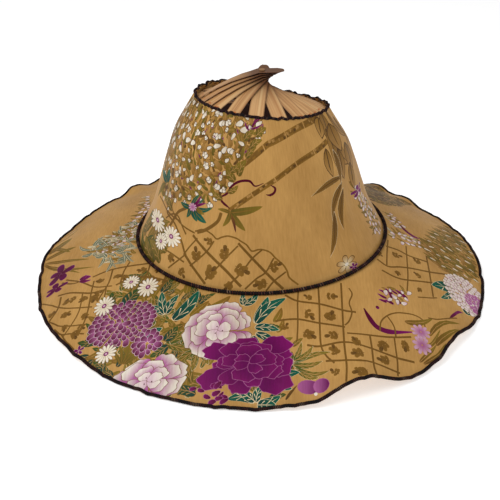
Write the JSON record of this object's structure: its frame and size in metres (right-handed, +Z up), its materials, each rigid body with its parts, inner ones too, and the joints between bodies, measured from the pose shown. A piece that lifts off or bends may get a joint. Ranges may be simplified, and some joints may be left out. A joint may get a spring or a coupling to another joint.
{
  "type": "folding bamboo sun hat",
  "caption": "Fan-folding sun hat: bamboo slats pinned at the apex over a bell-shaped printed cloth crown and a wide, wavy, drooping cloth brim with dark edges.",
  "frame": {"origin": "centre of the bounding box at its base, where the brim's feet touch the table", "axes": "+Z up out of the crown, -Y to the front of the brim, +X to the wearer's left when the front faces forward"},
  "size_m": [0.358, 0.3572, 0.1675],
  "materials": {
    "printed_satin": "satin, printed with flowers and lattice",
    "overlock_thread": "matt thread",
    "bamboo": "smooth, natural"
  },
  "bodies": {
    "root": {"crown_cloth": "printed_satin", "brim_cloth": "printed_satin", "waist_cord": "overlock_thread", "crown_edging": "overlock_thread", "brim_edging": "overlock_thread", "slat_01": "bamboo", "slat_02": "bamboo", "slat_03": "bamboo", "slat_04": "bamboo", "slat_05": "bamboo", "slat_06": "bamboo", "slat_07": "bamboo", "slat_08": "bamboo", "slat_09": "bamboo", "slat_10": "bamboo", "slat_11": "bamboo", "slat_12": "bamboo", "slat_13": "bamboo", "slat_14": "bamboo", "slat_15": "bamboo", "slat_16": "bamboo", "slat_17": "bamboo", "slat_18": "bamboo", "slat_19": "bamboo", "slat_20": "bamboo", "slat_21": "bamboo", "slat_22": "bamboo", "pivot_pin": "bamboo"}
  },
  "joints": []
}
